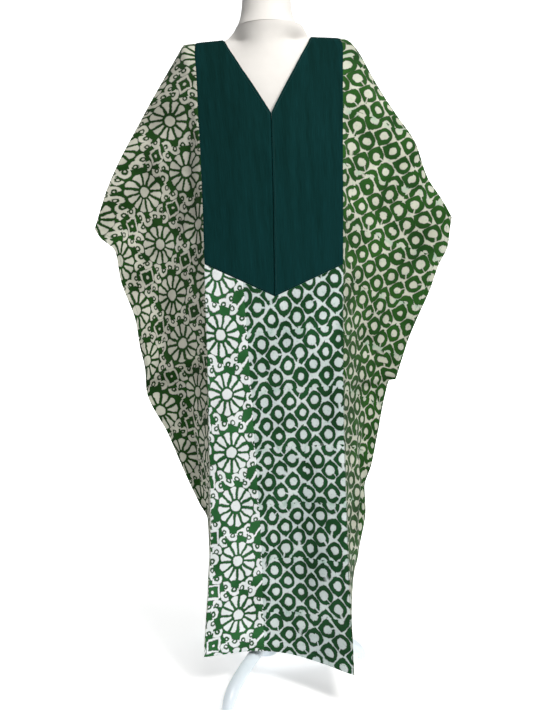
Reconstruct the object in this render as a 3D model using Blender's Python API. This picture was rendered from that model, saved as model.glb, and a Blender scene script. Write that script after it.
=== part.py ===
"""A printed grand boubou robe hanging on a limbless dress form with a pole and three curved legs.

Metres, Z up, the robe's front faces -Y, the floor is z = 0 and the pole stands at x = 0, y = 0 before
the whole is moved so that its box is centred on the origin.
"""

import math

import bmesh
import bpy
import numpy as np
from mathutils import Matrix

CLOTH = 0.0015  # thickness of the cloth
SEAM_GAP = 0.0003  # between two pieces that are sewn together
HALF_GAP = SEAM_GAP / 2
FOLD_GAP = 0.0002  # half the least gap between two layers, and a little more
SLANT = 1.45  # a seam's gap is measured along the rows, which may cross the seam at a slant
SEAM_LENGTH = 1.473  # flat length of the seam between centre panel and wing
SHIFT = (-0.0155, 0.0190, 0.0)  # moves the finished box onto the origin

# The seams between the centre panel and the wings, from the shoulder down. down: flat distance from
# the shoulder; then the left and the right seam line; hollow: how far the panel's middle stands back.
FRONT_SEAMS = (
    # down, left x, y, z, right x, y, z, hollow
    (0.000, -0.161, 0.000, 1.517, 0.160, 0.000, 1.529, 0.000),
    (0.020, -0.163, -0.020, 1.5135, 0.167, -0.020, 1.5245, -0.001),
    (0.054, -0.163, -0.046, 1.491, 0.173, -0.046, 1.499, -0.005),
    (0.112, -0.158, -0.078, 1.442, 0.171, -0.078, 1.447, -0.012),
    (0.220, -0.151, -0.115, 1.337, 0.169, -0.115, 1.338, -0.015),
    (0.323, -0.145, -0.138, 1.237, 0.168, -0.139, 1.237, -0.012),
    (0.423, -0.141, -0.148, 1.137, 0.169, -0.149, 1.137, -0.010),
    (0.553, -0.138, -0.150, 1.007, 0.170, -0.152, 1.007, -0.008),
    (0.853, -0.132, -0.148, 0.707, 0.174, -0.155, 0.707, 0.006),
    (1.123, -0.130, -0.142, 0.437, 0.183, -0.170, 0.437, 0.030),
    (1.473, -0.149, -0.130, 0.087, 0.199, -0.215, 0.087, 0.068),
)
BACK_SEAMS = (
    # down, left x, y, z, right x, y, z, bulge
    (0.000, -0.161, 0.000, 1.517, 0.160, 0.000, 1.529, 0.000),
    (0.020, -0.163, 0.020, 1.5135, 0.167, 0.020, 1.5245, 0.001),
    (0.054, -0.163, 0.045, 1.490, 0.173, 0.045, 1.498, 0.009),
    (0.112, -0.158, 0.076, 1.441, 0.171, 0.076, 1.446, 0.016),
    (0.220, -0.150, 0.104, 1.333, 0.168, 0.104, 1.338, 0.020),
    (0.323, -0.144, 0.120, 1.232, 0.167, 0.120, 1.236, 0.016),
    (0.423, -0.141, 0.126, 1.132, 0.168, 0.124, 1.136, 0.010),
    (0.553, -0.138, 0.126, 1.002, 0.170, 0.122, 1.006, 0.006),
    (0.853, -0.136, 0.110, 0.702, 0.175, 0.102, 0.707, 0.012),
    (1.123, -0.138, 0.075, 0.437, 0.184, 0.050, 0.437, 0.032),
    (1.473, -0.146, 0.020, 0.087, 0.200, -0.065, 0.087, 0.062),
)

# The folds along the top of the wings, from the shoulder to the wrist corner.
LEFT_RIDGE = (
    # along, x, z
    (0.000, -0.161, 1.517),
    (0.030, -0.191, 1.514),
    (0.042, -0.198, 1.505),
    (0.052, -0.203, 1.496),
    (0.069, -0.212, 1.481),
    (0.174, -0.267, 1.390),
    (0.253, -0.306, 1.322),
    (0.332, -0.345, 1.253),
    (0.409, -0.377, 1.184),
    (0.505, -0.408, 1.093),
)
RIGHT_RIDGE = (
    # along, x, z
    (0.000, 0.160, 1.529),
    (0.024, 0.184, 1.526),
    (0.040, 0.197, 1.516),
    (0.050, 0.204, 1.509),
    (0.070, 0.216, 1.493),
    (0.124, 0.243, 1.447),
    (0.186, 0.276, 1.395),
    (0.238, 0.306, 1.353),
    (0.309, 0.348, 1.295),
    (0.395, 0.379, 1.214),
    (0.464, 0.418, 1.157),
    (0.506, 0.439, 1.121),
)

# The outer edges of the wings, from the wrist corner to the hem. mouth: how far the front and the
# back layer stand apart, which is the open sleeve end; where it is 0 the layers are sewn together.
LEFT_EDGE = (
    # along, x, y, z, mouth
    (0.000, -0.408, 0.000, 1.093, 0.000),
    (0.022, -0.396, 0.000, 1.074, 0.004),
    (0.072, -0.359, 0.000, 1.040, 0.018),
    (0.140, -0.346, 0.000, 0.973, 0.034),
    (0.247, -0.311, 0.000, 0.873, 0.042),
    (0.303, -0.303, -0.004, 0.817, 0.034),
    (0.366, -0.292, -0.008, 0.755, 0.014),
    (0.406, -0.291, -0.010, 0.716, 0.000),
    (0.534, -0.237, -0.022, 0.600, 0.000),
    (0.641, -0.195, -0.030, 0.502, 0.000),
    (0.716, -0.162, -0.038, 0.433, 0.000),
    (0.760, -0.143, -0.040, 0.395, 0.000),
    (0.906, -0.139, -0.045, 0.250, 0.000),
    (1.070, -0.150, -0.055, 0.087, 0.000),
)
RIGHT_EDGE = (
    # along, x, y, z, mouth
    (0.000, 0.439, 0.000, 1.121, 0.000),
    (0.021, 0.436, 0.000, 1.100, 0.004),
    (0.069, 0.430, 0.000, 1.053, 0.014),
    (0.117, 0.409, 0.000, 1.010, 0.026),
    (0.183, 0.387, 0.000, 0.948, 0.038),
    (0.258, 0.357, 0.000, 0.879, 0.044),
    (0.305, 0.340, -0.002, 0.835, 0.036),
    (0.368, 0.323, -0.004, 0.774, 0.018),
    (0.409, 0.311, -0.006, 0.735, 0.000),
    (0.443, 0.291, -0.002, 0.708, 0.000),
    (0.556, 0.270, -0.008, 0.597, 0.000),
    (0.631, 0.256, -0.014, 0.524, 0.000),
    (0.689, 0.239, -0.020, 0.468, 0.000),
    (0.745, 0.241, -0.030, 0.415, 0.000),
    (0.825, 0.226, -0.050, 0.336, 0.000),
    (0.892, 0.209, -0.075, 0.271, 0.000),
    (0.970, 0.203, -0.105, 0.196, 0.000),
    (1.090, 0.202, -0.140, 0.087, 0.000),
)

NECK_SIDES = (0.188, 0.822)  # where the neck opening starts and ends across the shoulder line
NECK_POINT = (0.522, 0.207)  # the bottom of the V: share of the width, distance down
BACK_NECK_DEPTH = 0.082
BACK_NECK_ROUND = 0.55  # how square the back neck's curve is
CENTRE_SEAM = 0.518  # share of the width at which the two bib halves meet
BIB_SIDE_DOWN = 0.548  # the bib's lower corners
BIB_TIP_DOWN = 0.619
YOKE_DOWN = 0.190
# The rows of every cloth piece, as distances down the seams, so that the rows of two pieces meet.
LEVELS = (0.0, 0.010, 0.022, 0.036, 0.054, 0.075, 0.10, 0.13, 0.16, YOKE_DOWN, 0.24, 0.30, 0.36)
LEVELS += (0.42, 0.48, BIB_SIDE_DOWN, 0.61, 0.67, 0.74, 0.82, 0.90, 0.98, 1.06, 1.14, 1.22, 1.30, 1.38)
LEVELS += (SEAM_LENGTH,)
WING_COLUMNS = (0.0, 0.06, 0.10, 0.14, 0.20, 0.28, 0.37, 0.47, 0.58, 0.69, 0.80, 0.90, 1.0)
CROWN = 0.0055  # the shoulder line rises this much towards the neck
CROWN_FADE = 0.045
RECEDE = 1.7  # how fast a wing turns back from the panel
STRAIGHT_BACK, WELL_OUT = 0.3, 0.8  # width to depth of a wing that runs straight back, or well out
OPENS_BY = 0.15  # share of a wing's width over which its two layers part
NARROW = 0.05  # a wing narrower than this brings its layers closer together
NECK_ROOM = 0.18  # share of the width over which the shoulder line rises
BOW_POWER = 1.2  # how flat the panel's hollow or bulge runs out at the seams
STEP_ACROSS, STEP_DOWN = 0.02, 0.004  # the steps from which the cloth's direction is taken
STEP_IN = 0.02  # the step from a border that tells which way is inward
SHARPEST = 0.5  # a mitre's cosine is taken as no less than this
LAYER = 0.0018  # half the distance between the outer faces of two layers that lie on each other
RIDGE_FADE = 0.07  # how fast the shoulder's bend dies out down the wing

# The dress form. Each ring: height, half width, half depth, how far it stands back, round core.
FORM_RINGS = (
    (0.770, 0.148, 0.096, 0.000, 0.000),
    (0.776, 0.158, 0.104, 0.000, 0.000),
    (0.800, 0.163, 0.109, 0.000, 0.000),
    (0.900, 0.166, 0.114, 0.000, 0.000),
    (1.000, 0.150, 0.104, -0.002, 0.000),
    (1.090, 0.128, 0.090, -0.003, 0.000),
    (1.180, 0.136, 0.098, -0.006, 0.000),
    (1.270, 0.152, 0.110, -0.010, 0.000),
    (1.340, 0.168, 0.104, -0.008, 0.000),
    (1.400, 0.184, 0.090, -0.004, 0.040),
    (1.440, 0.192, 0.074, -0.002, 0.052),
    (1.470, 0.197, 0.054, -0.001, 0.060),
    (1.4900, 0.202, 0.041, 0.000, 0.062),
    (1.5020, 0.200, 0.032, 0.000, 0.063),
    (1.5100, 0.195, 0.025, 0.000, 0.0635),
    (1.5160, 0.181, 0.018, 0.000, 0.064),
    (1.5192, 0.146, 0.013, 0.000, 0.065),
    (1.5215, 0.098, 0.018, 0.000, 0.065),
    (1.5295, 0.089, 0.030, 0.002, 0.066),
    (1.5400, 0.082, 0.041, 0.003, 0.067),
    (1.5500, 0.073, 0.046, 0.004, 0.066),
    (1.5600, 0.063, 0.048, 0.004, 0.064),
)
NECK_RINGS = (
    # height, radius
    (1.5603, 0.0685),
    (1.5680, 0.0655),
    (1.5760, 0.0620),
    (1.5870, 0.0588),
    (1.6050, 0.0565),
    (1.6400, 0.0555),
    (1.6560, 0.0540),
    (1.6620, 0.0485),
)
LEAN = 0.026  # the form's right shoulder stands this much higher per metre across
CROWD = 0.3  # the rings' points stand closer together at the sides, where they bend most
LEAN_FROM, LEAN_TO = 0.90, 1.30  # heights between which the lean sets in
POLE_RADIUS = 0.0125
HUB_RADIUS = 0.030
HUB_RINGS = (
    # height, share of the radius
    (0.034, 0.86),
    (0.038, 1.00),
    (0.086, 1.00),
    (0.092, 0.80),
)
FORM_SIDES, POLE_SIDES, LEG_SIDES = 40, 20, 14
HUB_SIDES = 24  # a multiple of the three legs, so that each leg meets a flat of the hub
FOOT_ANGLES = (-21.0, 99.0, 219.0)  # from straight ahead, towards the right
LEG_RADIUS = 0.0160
LEG_PATH = (
    # out, height, share of the radius
    (0.0301, 0.064, 1.00),
    (0.060, 0.066, 1.00),
    (0.120, 0.062, 1.00),
    (0.180, 0.054, 1.00),
    (0.214, 0.044, 1.00),
    (0.236, 0.029, 0.97),
    (0.2465, 0.013, 0.85),
    (0.2480, 0.0055, 0.66),
    (0.2482, 0.0000, 0.60),
)

COLOURS = {
    "dark_cloth": (0.008, 0.034, 0.031, 1.0),
    "printed_cloth": (0.12, 0.25, 0.12, 1.0),
    "form_white": (0.84, 0.82, 0.78, 1.0),
    "stand_white": (0.78, 0.80, 0.84, 1.0),
}


def smooth_table(rows):
    """A function of the first column that runs smoothly through the rows, with no overshoot."""
    table = np.array(rows, float)
    at, values = table[:, 0], table[:, 1:]
    step = np.diff(at)
    slope = np.diff(values, axis=0) / step[:, None]
    tangent = np.zeros_like(values)
    tangent[0], tangent[-1] = slope[0], slope[-1]
    for k in range(1, len(at) - 1):
        before, after = slope[k - 1], slope[k]
        same = before * after > 0
        w1, w2 = 2 * step[k] + step[k - 1], step[k] + 2 * step[k - 1]
        safe_before = np.where(same, before, 1.0)
        safe_after = np.where(same, after, 1.0)
        mean = (w1 + w2) / (w1 / safe_before + w2 / safe_after)
        tangent[k] = np.where(same, mean, 0.0)

    def read(x):
        k = int(np.clip(np.searchsorted(at, x) - 1, 0, len(step) - 1))
        t = min(max((x - at[k]) / step[k], 0.0), 1.0)
        a = values[k] * (1 + 2 * t) * (1 - t) ** 2 + values[k + 1] * t * t * (3 - 2 * t)
        b = tangent[k] * t * (1 - t) ** 2 - tangent[k + 1] * t * t * (1 - t)
        return a + b * step[k]

    return read


SEAMS = {"front": smooth_table(FRONT_SEAMS), "back": smooth_table(BACK_SEAMS)}
RIDGES = {"left": smooth_table(LEFT_RIDGE), "right": smooth_table(RIGHT_RIDGE)}
RIDGE_LENGTH = {"left": LEFT_RIDGE[-1][0], "right": RIGHT_RIDGE[-1][0]}
EDGES = {"left": smooth_table(LEFT_EDGE), "right": smooth_table(RIGHT_EDGE)}
EDGE_LENGTH = {"left": LEFT_EDGE[-1][0], "right": RIGHT_EDGE[-1][0]}
OUTWARD = {"front": -1.0, "back": 1.0}


def centre_point(layer, across, down):
    """A point of the centre cloth: across from the left seam (0) to the right seam (1)."""
    row = SEAMS[layer](down)
    left, right, bow = row[0:3], row[3:6], row[6]
    p = left + (right - left) * across
    p[1] += bow * math.sin(math.pi * across) ** BOW_POWER
    near_neck = min(1.0, min(across, 1 - across) / NECK_ROOM)
    p[2] += CROWN * near_neck * math.exp(-down / CROWN_FADE)
    return p


def wing_point(layer, hand, out, down):
    """A point of a wing: out from the panel seam (0) to the outer edge (1), down from fold to hem."""
    at = 0 if hand == "left" else 3
    seam = SEAMS[layer](down * SEAM_LENGTH)[at:at + 3]
    opposite = SEAMS["back" if layer == "front" else "front"](down * SEAM_LENGTH)[at:at + 3]
    edge_row = EDGES[hand](down * EDGE_LENGTH[hand])
    edge = np.array(edge_row[0:3])
    edge[1] += OUTWARD[layer] * edge_row[3] / 2
    p = seam + (edge - seam) * out
    wide = abs(edge[0] - seam[0])
    slant = wide / max(abs(edge[1] - seam[1]), 1e-6)
    turned = min(max((slant - STRAIGHT_BACK) / (WELL_OUT - STRAIGHT_BACK), 0.0), 1.0)
    power = 1 + (RECEDE - 1) * turned
    p[1] = seam[1] + (edge[1] - seam[1]) * (1 - (1 - out) ** power)
    middle = (seam[1] + opposite[1]) / 2 * (1 - out) + edge_row[1] * out
    apart = max(FOLD_GAP, LAYER * min(1.0, wide / NARROW)) * min(1.0, out / OPENS_BY)
    p[1] = middle + OUTWARD[layer] * math.hypot(p[1] - middle, apart)
    ridge = RIDGES[hand]
    first, last, here = ridge(0.0), ridge(RIDGE_LENGTH[hand]), ridge(out * RIDGE_LENGTH[hand])
    bend = here - (first + (last - first) * out)
    fade = math.exp(-down / RIDGE_FADE)
    p[0] += bend[0] * fade
    p[2] += bend[1] * fade
    return p


def unit(v):
    return v / max(float(np.linalg.norm(v)), 1e-12)


def outward_normal(point, a, b, layer):
    """The cloth's outward direction at (a, b) of a surface, from small steps on it."""
    da = point(min(a + STEP_ACROSS, 1.0), b) - point(max(a - STEP_ACROSS, 0.0), b)
    db = point(a, min(b + STEP_DOWN, 1.0)) - point(a, max(b - STEP_DOWN, 0.0))
    n = unit(np.cross(da, db))
    half = 0.5
    middle = point(half, half)
    side, fall = point(half + STEP_IN, half) - middle, point(half, half + STEP_IN) - middle
    return n if float(np.cross(side, fall)[1]) * OUTWARD[layer] > 0 else -n


def cloth_solid(name, layer, point, across, along, meets):
    """A closed shell over the grid across x along. meets tells which border is sewn, and to what:
    a direction function for a mitred seam, "flat" for a seam in one surface, "fold" for the fold over
    the shoulder or "edge" for the wing's outer edge, where two layers keep to their own sides."""
    rows, columns = len(along), len(across)
    outer = np.zeros((rows, columns, 3))
    inner = np.zeros((rows, columns, 3))
    for j, b in enumerate(along):
        for i, a in enumerate(across):
            n = outward_normal(point, a, b, layer)
            p = point(a, b)
            into = -n * CLOTH
            shift = np.zeros(3)
            for side, here, next_a, next_b in (
                ("first", i == 0, min(a + STEP_IN, 1.0), b),
                ("last", i == columns - 1, max(a - STEP_IN, 0.0), b),
                ("top", j == 0, a, min(b + STEP_IN, 1.0)),
                ("bottom", j == rows - 1, a, max(b - STEP_IN, 0.0)),
            ):
                kind = meets.get(side) if here else None
                if kind is None:
                    continue
                if side in ("top", "last") and kind in ("fold", "edge"):
                    middle = 0.0 if kind == "fold" else meets["middle"](b)
                    least = CLOTH * abs(n[1]) + HALF_GAP * SLANT
                    away = (p[1] - middle) * OUTWARD[layer]
                    p[1] = middle + OUTWARD[layer] * max(away, least)
                    continue
                inward = unit(point(next_a, next_b) - point(a, b))
                if kind != "flat":
                    other = kind(b)
                    mitre = unit(n + other)
                    into = -mitre * CLOTH / max(float(mitre @ n), SHARPEST)
                    inward = unit(inward - mitre * float(inward @ mitre))
                shift = shift + inward * HALF_GAP * SLANT
            outer[j, i] = p + shift
            inner[j, i] = p + into + shift
    verts = [tuple(v) for v in outer.reshape(-1, 3)] + [tuple(v) for v in inner.reshape(-1, 3)]
    count = rows * columns
    faces = []
    for j in range(rows - 1):
        for i in range(columns - 1):
            k = j * columns + i
            quad = (k, k + 1, k + columns + 1, k + columns)
            faces.append(quad)
            faces.append(tuple(count + v for v in reversed(quad)))
    rim = [i for i in range(columns)]
    rim += [j * columns + columns - 1 for j in range(1, rows)]
    rim += [(rows - 1) * columns + i for i in range(columns - 2, -1, -1)]
    rim += [j * columns for j in range(rows - 2, 0, -1)]
    for k, v in enumerate(rim):
        w = rim[(k + 1) % len(rim)]
        faces.append((v, count + v, count + w, w))
    return solid(name, verts, faces)


def solid(name, verts, faces):
    """A closed named body, its faces split into triangles and turned outward."""
    mesh = bpy.data.meshes.new(name)
    body = bmesh.new()
    made = [body.verts.new(v) for v in verts]
    for face in faces:
        body.faces.new([made[v] for v in face])
    bmesh.ops.triangulate(body, faces=body.faces[:])
    bmesh.ops.recalc_face_normals(body, faces=body.faces[:])
    if body.calc_volume(signed=True) < 0:
        bmesh.ops.reverse_faces(body, faces=body.faces[:])
    body.to_mesh(mesh)
    body.free()
    mesh.transform(Matrix.Translation(SHIFT))
    item = bpy.data.objects.new(name, mesh)
    bpy.context.collection.objects.link(item)
    return item


def colour(item, key):
    material = bpy.data.materials.get(key)
    if material is None:
        material = bpy.data.materials.new(key)
        material.use_nodes = True
        shader = material.node_tree.nodes["Principled BSDF"]
        shader.inputs["Base Color"].default_value = COLOURS[key]
        shader.inputs["Roughness"].default_value = 0.8
    item.data.materials.append(material)


def lofted(name, rings):
    """A closed body through rings of equally many points, its ends closed flat."""
    sides = len(rings[0])
    verts = [tuple(v) for ring in rings for v in ring]
    faces = []
    for j in range(len(rings) - 1):
        for i in range(sides):
            k = (i + 1) % sides
            a, b = j * sides, (j + 1) * sides
            faces.append((a + i, a + k, b + k, b + i))
    for ring in (0, len(rings) - 1):
        centre = len(verts)
        verts.append(tuple(np.mean(np.array(rings[ring]), axis=0)))
        for i in range(sides):
            faces.append((ring * sides + i, ring * sides + (i + 1) % sides, centre))
    return solid(name, verts, faces)


def form_ring(height, half_width, half_depth, back, core, sides):
    """One ring of the form: an oval, joined softly with a round core where the neck rises."""
    ring = []
    for i in range(sides):
        angle = 2 * math.pi * i / sides
        angle -= CROWD * math.sin(2 * angle)
        c, s = math.cos(angle), math.sin(angle)
        oval = 1 / math.sqrt((c / half_width) ** 2 + (s / half_depth) ** 2)
        r = (oval ** 4 + core ** 4) ** 0.25 if core else oval
        rise = min(max((height - LEAN_FROM) / (LEAN_TO - LEAN_FROM), 0.0), 1.0)
        ring.append((r * c, r * s + back, height + LEAN * rise * r * c))
    return ring


def neck_line(across):
    """How far below the shoulder line the front neck edge runs."""
    first, last = NECK_SIDES
    middle, deep = NECK_POINT
    if across <= first or across >= last:
        return 0.0
    if across < middle:
        return deep * (across - first) / (middle - first)
    return deep * (last - across) / (last - middle)


def back_neck_line(across):
    first, last = NECK_SIDES
    if across <= first or across >= last:
        return 0.0
    t = (across - first) / (last - first)
    return BACK_NECK_DEPTH * math.sin(math.pi * t) ** BACK_NECK_ROUND


def bib_foot(across):
    """How far down the bib's pointed lower edge runs."""
    share = across / CENTRE_SEAM if across < CENTRE_SEAM else (1 - across) / (1 - CENTRE_SEAM)
    return BIB_SIDE_DOWN + (BIB_TIP_DOWN - BIB_SIDE_DOWN) * share


def levels_between(head, foot):
    """The shared rows from head to foot, as shares of the way."""
    return [(v - head) / (foot - head) for v in LEVELS if head - 1e-9 <= v <= foot + 1e-9]


def wing_normal(layer, hand, down):
    surface = lambda a, b: wing_point(layer, hand, a, b)
    return outward_normal(surface, 0.0, min(down / SEAM_LENGTH, 1.0), layer)


def centre_normal(layer, hand, down):
    surface = lambda a, b: centre_point(layer, a, b * SEAM_LENGTH)
    across = 0.0 if hand == "left" else 1.0
    return outward_normal(surface, across, min(down / SEAM_LENGTH, 1.0), layer)


def centre_piece(name, layer, columns, rows, top, bottom, meets):
    """A piece of the centre cloth between two lines that run across it."""
    first, last = columns[0], columns[-1]

    def point(a, b):
        across = first + (last - first) * a
        head = top(across)
        return centre_point(layer, across, head + (bottom(across) - head) * b)

    if "wings" in meets:
        for side, hand, edge in (("first", "left", 0.0), ("last", "right", 1.0)):
            if meets["wings"] in ("both", hand):
                head, foot = top(edge), bottom(edge)
                meets[side] = _seam_direction(layer, hand, head, foot)
    across = [(c - first) / (last - first) for c in columns]
    return cloth_solid(name, layer, point, across, rows, meets)


def _seam_direction(layer, hand, head, foot):
    return lambda b: wing_normal(layer, hand, head + (foot - head) * b)


def wing_piece(name, layer, hand):
    across, along = WING_COLUMNS, levels_between(0.0, SEAM_LENGTH)
    point = lambda a, b: wing_point(layer, hand, a, b)
    meets = {"first": lambda b: centre_normal(layer, hand, b * SEAM_LENGTH)}
    meets["top"] = "fold"
    meets["last"] = "edge"
    meets["middle"] = lambda b: float(EDGES[hand](b * EDGE_LENGTH[hand])[1])
    return cloth_solid(name, layer, point, across, along, meets)


def build_robe():
    shoulder = lambda across: 0.0
    hem = lambda across: SEAM_LENGTH
    yoke_foot = lambda across: YOKE_DOWN
    first, last = NECK_SIDES
    rows = levels_between(0.0, BIB_SIDE_DOWN)
    left_columns = [0.0, 0.06, 0.12, first, 0.205, 0.25, 0.32, 0.39, 0.46, CENTRE_SEAM]
    right_columns = [CENTRE_SEAM, 0.58, 0.65, 0.72, 0.77, 0.805, last, 0.88, 0.94, 1.0]
    pieces = []
    sides = {"top": "fold", "bottom": "flat"}
    pieces.append(
        centre_piece(
            "bib_left", "front", left_columns, rows, neck_line, bib_foot,
            {"wings": "left", "last": "flat", **sides},
        )
    )
    pieces.append(
        centre_piece(
            "bib_right", "front", right_columns, rows, neck_line, bib_foot,
            {"wings": "right", "first": "flat", **sides},
        )
    )
    panel_columns = [0.0, 0.08, 0.17, 0.26, 0.35, 0.44, CENTRE_SEAM, 0.6, 0.68, 0.76, 0.84, 0.92, 1.0]
    pieces.append(
        centre_piece(
            "front_panel", "front", panel_columns, levels_between(BIB_SIDE_DOWN, SEAM_LENGTH),
            bib_foot, hem, {"wings": "both", "top": "flat"},
        )
    )
    yoke_columns = [0.0, 0.06, 0.12, first, 0.197, 0.22, 0.28, 0.36, 0.44, 0.505]
    yoke_columns += [0.57, 0.65, 0.73, 0.79, 0.813, last, 0.88, 0.94, 1.0]
    pieces.append(
        centre_piece(
            "back_yoke", "back", yoke_columns, levels_between(0.0, YOKE_DOWN),
            back_neck_line, yoke_foot, {"wings": "both", **sides},
        )
    )
    pieces.append(
        centre_piece(
            "back_panel", "back", panel_columns, levels_between(YOKE_DOWN, SEAM_LENGTH),
            yoke_foot, hem, {"wings": "both", "top": "flat"},
        )
    )
    for piece in pieces:
        dark = piece.name.startswith("bib") or piece.name == "back_yoke"
        colour(piece, "dark_cloth" if dark else "printed_cloth")
    for hand in ("left", "right"):
        for layer in ("front", "back"):
            colour(wing_piece(f"wing_{hand}_{layer}", layer, hand), "printed_cloth")


def build_form():
    rings = [form_ring(*row, FORM_SIDES) for row in FORM_RINGS]
    colour(lofted("form_torso", rings), "form_white")
    neck = []
    for height, radius in NECK_RINGS:
        neck.append(form_ring(height, radius, radius, 0.0, 0.0, FORM_SIDES))
    colour(lofted("form_neck", neck), "form_white")


def circle(centre, radius, sides, side, up):
    ring = []
    for i in range(sides):
        angle = 2 * math.pi * i / sides
        ring.append(centre + radius * (math.cos(angle) * side + math.sin(angle) * up))
    return ring


def build_stand():
    x_axis, y_axis, z_axis = np.eye(3)
    high = HUB_RINGS[-1][0]
    top = FORM_RINGS[0][0] - SEAM_GAP
    pole = [circle(z_axis * z, POLE_RADIUS, POLE_SIDES, x_axis, y_axis) for z in (high + SEAM_GAP, top)]
    colour(lofted("stand_pole", pole), "stand_white")
    turn = math.radians(FOOT_ANGLES[0] - 90 - 180 / HUB_SIDES)
    hub_side = np.array([math.cos(turn), math.sin(turn), 0.0])
    hub_up = np.cross(z_axis, hub_side)
    hub = []
    for z, share in HUB_RINGS:
        hub.append(circle(z_axis * z, HUB_RADIUS * share, HUB_SIDES, hub_side, hub_up))
    colour(lofted("stand_hub", hub), "stand_white")
    for k, degrees in enumerate(FOOT_ANGLES):
        angle = math.radians(degrees)
        out = np.array([math.sin(angle), -math.cos(angle), 0.0])
        side = np.array([math.cos(angle), math.sin(angle), 0.0])
        points = [out * r + z_axis * z for r, z, share in LEG_PATH]
        rings = []
        for i, point in enumerate(points):
            share = LEG_PATH[i][2]
            before, after = points[max(i - 1, 0)], points[min(i + 1, len(points) - 1)]
            run = unit(after - before)
            if i == 0:
                run = out
            if i >= len(points) - 2:
                run = -z_axis
            up = unit(np.cross(side, run))
            rings.append(circle(point, LEG_RADIUS * share, LEG_SIDES, side, up))
        colour(lofted(f"stand_leg_{k + 1}", rings), "stand_white")


for item in list(bpy.data.objects):
    bpy.data.objects.remove(item, do_unlink=True)
build_robe()
build_form()
build_stand()
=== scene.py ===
"""The looks of the printed robe on its dress form: cloth shells with folds, print, seams, form and stand.

Metres, Z up, the robe's front faces -Y. The tables of seams, ridges and edges repeat the sizes of the
solids, before SHIFT. The neck line and the folds are finer here than in the solids.
"""

import math

import bmesh
import bpy
import numpy as np
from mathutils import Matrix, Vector


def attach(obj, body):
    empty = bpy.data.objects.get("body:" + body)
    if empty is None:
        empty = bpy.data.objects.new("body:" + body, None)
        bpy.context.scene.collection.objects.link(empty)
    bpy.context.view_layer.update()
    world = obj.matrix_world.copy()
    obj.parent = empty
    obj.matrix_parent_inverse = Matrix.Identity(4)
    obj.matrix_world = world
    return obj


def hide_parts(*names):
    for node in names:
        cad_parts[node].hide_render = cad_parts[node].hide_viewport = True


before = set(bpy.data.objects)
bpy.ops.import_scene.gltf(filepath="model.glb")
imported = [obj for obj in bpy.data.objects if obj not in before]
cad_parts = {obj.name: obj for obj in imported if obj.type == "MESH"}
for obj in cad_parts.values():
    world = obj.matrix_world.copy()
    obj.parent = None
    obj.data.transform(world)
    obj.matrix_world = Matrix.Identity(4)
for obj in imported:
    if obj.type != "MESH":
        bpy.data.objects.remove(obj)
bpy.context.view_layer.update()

CLOTH = 0.0015  # thickness
HALF_GAP = 0.00015  # each side of a seam
SEAM_LENGTH = 1.473  # from the shoulder to the hem, along the cloth
SHIFT = np.array((-0.0155, 0.0190, 0.0))  # puts the whole's centre over the origin

FRONT_SEAMS = (
    # down, left x, y, z, right x, y, z, hollow
    (0.000, -0.161, 0.000, 1.517, 0.160, 0.000, 1.529, 0.000),
    (0.020, -0.163, -0.020, 1.5135, 0.167, -0.020, 1.5245, -0.001),
    (0.054, -0.163, -0.046, 1.491, 0.173, -0.046, 1.499, -0.005),
    (0.112, -0.158, -0.078, 1.442, 0.171, -0.078, 1.447, -0.012),
    (0.220, -0.151, -0.115, 1.337, 0.169, -0.115, 1.338, -0.015),
    (0.323, -0.145, -0.138, 1.237, 0.168, -0.139, 1.237, -0.012),
    (0.423, -0.141, -0.148, 1.137, 0.169, -0.149, 1.137, -0.010),
    (0.553, -0.138, -0.150, 1.007, 0.170, -0.152, 1.007, -0.008),
    (0.853, -0.132, -0.148, 0.707, 0.174, -0.155, 0.707, 0.006),
    (1.123, -0.130, -0.142, 0.437, 0.183, -0.170, 0.437, 0.030),
    (1.473, -0.149, -0.130, 0.087, 0.199, -0.215, 0.087, 0.068),
)
BACK_SEAMS = (
    # down, left x, y, z, right x, y, z, bulge
    (0.000, -0.161, 0.000, 1.517, 0.160, 0.000, 1.529, 0.000),
    (0.020, -0.163, 0.020, 1.5135, 0.167, 0.020, 1.5245, 0.001),
    (0.054, -0.163, 0.045, 1.490, 0.173, 0.045, 1.498, 0.009),
    (0.112, -0.158, 0.076, 1.441, 0.171, 0.076, 1.446, 0.016),
    (0.220, -0.150, 0.104, 1.333, 0.168, 0.104, 1.338, 0.020),
    (0.323, -0.144, 0.120, 1.232, 0.167, 0.120, 1.236, 0.016),
    (0.423, -0.141, 0.126, 1.132, 0.168, 0.124, 1.136, 0.010),
    (0.553, -0.138, 0.126, 1.002, 0.170, 0.122, 1.006, 0.006),
    (0.853, -0.136, 0.110, 0.702, 0.175, 0.102, 0.707, 0.012),
    (1.123, -0.138, 0.075, 0.437, 0.184, 0.050, 0.437, 0.032),
    (1.473, -0.146, 0.020, 0.087, 0.200, -0.065, 0.087, 0.062),
)
LEFT_RIDGE = (
    # along, x, z
    (0.000, -0.161, 1.517),
    (0.030, -0.191, 1.514),
    (0.042, -0.198, 1.505),
    (0.052, -0.203, 1.496),
    (0.069, -0.212, 1.481),
    (0.174, -0.267, 1.390),
    (0.253, -0.306, 1.322),
    (0.332, -0.345, 1.253),
    (0.409, -0.377, 1.184),
    (0.505, -0.408, 1.093),
)
RIGHT_RIDGE = (
    # along, x, z
    (0.000, 0.160, 1.529),
    (0.024, 0.184, 1.526),
    (0.040, 0.197, 1.516),
    (0.050, 0.204, 1.509),
    (0.070, 0.216, 1.493),
    (0.124, 0.243, 1.447),
    (0.186, 0.276, 1.395),
    (0.238, 0.306, 1.353),
    (0.309, 0.348, 1.295),
    (0.395, 0.379, 1.214),
    (0.464, 0.418, 1.157),
    (0.506, 0.439, 1.121),
)
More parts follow.
